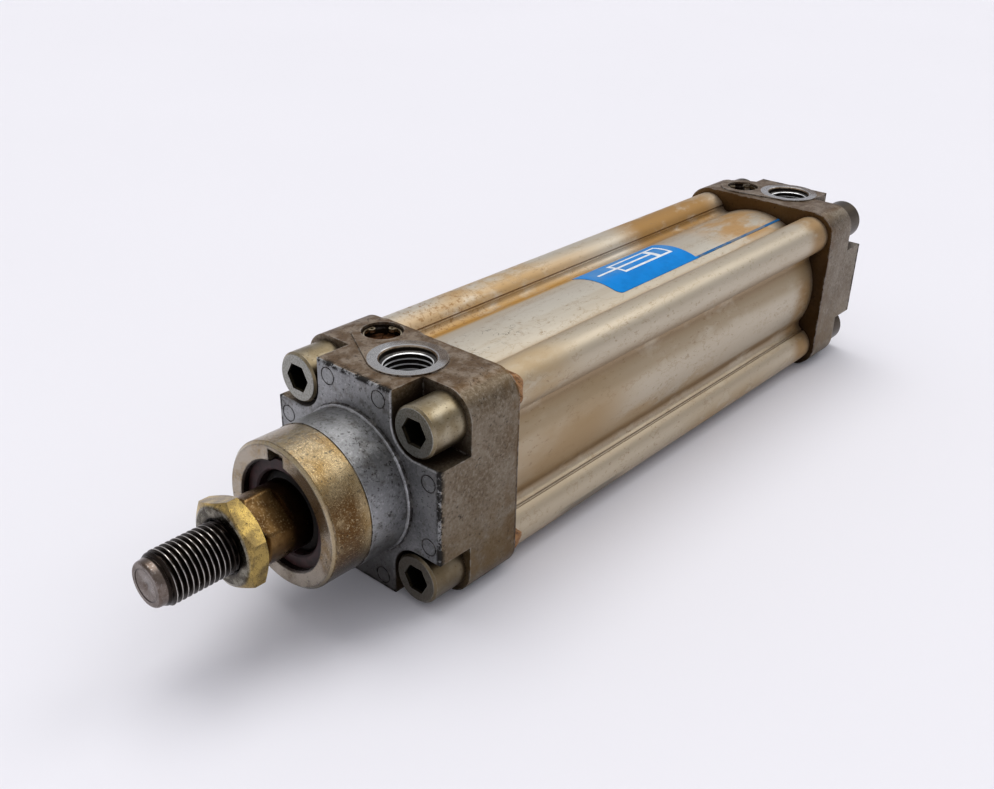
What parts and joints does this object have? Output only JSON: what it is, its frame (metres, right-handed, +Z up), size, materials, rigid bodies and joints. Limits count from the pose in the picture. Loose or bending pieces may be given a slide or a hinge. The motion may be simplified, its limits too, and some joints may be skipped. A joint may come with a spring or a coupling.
{
  "type": "pneumatic cylinder",
  "caption": "Double-acting air cylinder with a lobed extruded barrel, square cast end caps, adjustable end cushioning and a threaded piston rod with a lock nut.",
  "frame": {"origin": "on the rod's axis, in the bearing cap's front mounting face", "axes": "+X along the rod and out of the cylinder, +Z up through the air ports, +Y to the side that the ports are set towards"},
  "size_m": [0.26, 0.053, 0.0534],
  "materials": {
    "cast_aluminium": "cast, stained",
    "barrel_aluminium": "anodised, stained",
    "piston_aluminium": "turned",
    "screw_steel": "zinc plated, worn",
    "rod_steel": "ground, oil stained",
    "nut_steel": "yellow zinc plated",
    "plain_steel": "turned",
    "spring_steel": "bright",
    "bronze": "sintered",
    "ring_plastic": "moulded, brown",
    "black_rubber": "moulded",
    "guide_plastic": "moulded",
    "magnet": "plastic bonded ferrite",
    "brass": "turned, dirty",
    "label_foil": "printed foil, worn"
  },
  "bodies": {
    "housing": {"bearing_cap": "cast_aluminium", "end_cap": "cast_aluminium", "barrel": "barrel_aluminium", "front_cap_screws": "screw_steel", "rear_cap_screws": "screw_steel", "rod_bearing_bush": "bronze", "rod_seal": "black_rubber", "seal_retaining_ring": "ring_plastic", "front_cushion_seal": "black_rubber", "rear_cushion_seal": "black_rubber", "front_barrel_o_ring": "black_rubber", "rear_barrel_o_ring": "black_rubber", "front_cushion_clip": "spring_steel", "rear_cushion_clip": "spring_steel", "name_label": "label_foil"},
    "piston_seals": {"front_piston_seal": "black_rubber", "rear_piston_seal": "black_rubber", "piston_guide_ring": "guide_plastic"},
    "rod": {"piston_rod": "rod_steel", "rod_nut": "nut_steel", "piston_nut": "plain_steel", "front_piston_half": "piston_aluminium", "rear_piston_half": "piston_aluminium", "piston_magnet": "magnet", "rod_o_ring": "black_rubber", "front_cushion_sleeve": "piston_aluminium", "rear_cushion_sleeve": "piston_aluminium"},
    "front_screw_ring": {"front_cushion_screw_o_ring": "black_rubber"},
    "front_screw": {"front_cushion_screw": "brass"},
    "rear_screw_ring": {"rear_cushion_screw_o_ring": "black_rubber"},
    "rear_screw": {"rear_cushion_screw": "brass"}
  },
  "joints": [
    {"name": "rod_stroke", "type": "slide", "parent": "housing", "child": "piston_seals", "axis": [1, 0, 0], "range_m": [0, 0.1]},
    {"name": "rod_turn", "type": "hinge", "parent": "piston_seals", "child": "rod", "pos_m": [0, 0, 0], "axis": [1, 0, 0], "continuous": true},
    {"name": "front_cushion_screw_travel", "type": "slide", "parent": "housing", "child": "front_screw_ring", "axis": [0, 0, 1], "range_m": [-0.0005, 0.00075]},
    {"name": "front_cushion_screw_turn", "type": "hinge", "parent": "front_screw_ring", "child": "front_screw", "pos_m": [-0.0202, -0.0116, 0.024], "axis": [0, 0, 1], "range_deg": [-360, 540]},
    {"name": "rear_cushion_screw_travel", "type": "slide", "parent": "housing", "child": "rear_screw_ring", "axis": [0, 0, 1], "range_m": [-0.0005, 0.00075]},
    {"name": "rear_cushion_screw_turn", "type": "hinge", "parent": "rear_screw_ring", "child": "rear_screw", "pos_m": [-0.1902, -0.012, 0.024], "axis": [0, 0, 1], "range_deg": [-360, 540]}
  ],
  "couplings": [
    {"joint": "front_cushion_screw_turn", "follows": "front_cushion_screw_travel", "rad_per_m": 12566},
    {"joint": "rear_cushion_screw_turn", "follows": "rear_cushion_screw_travel", "rad_per_m": 12566}
  ]
}
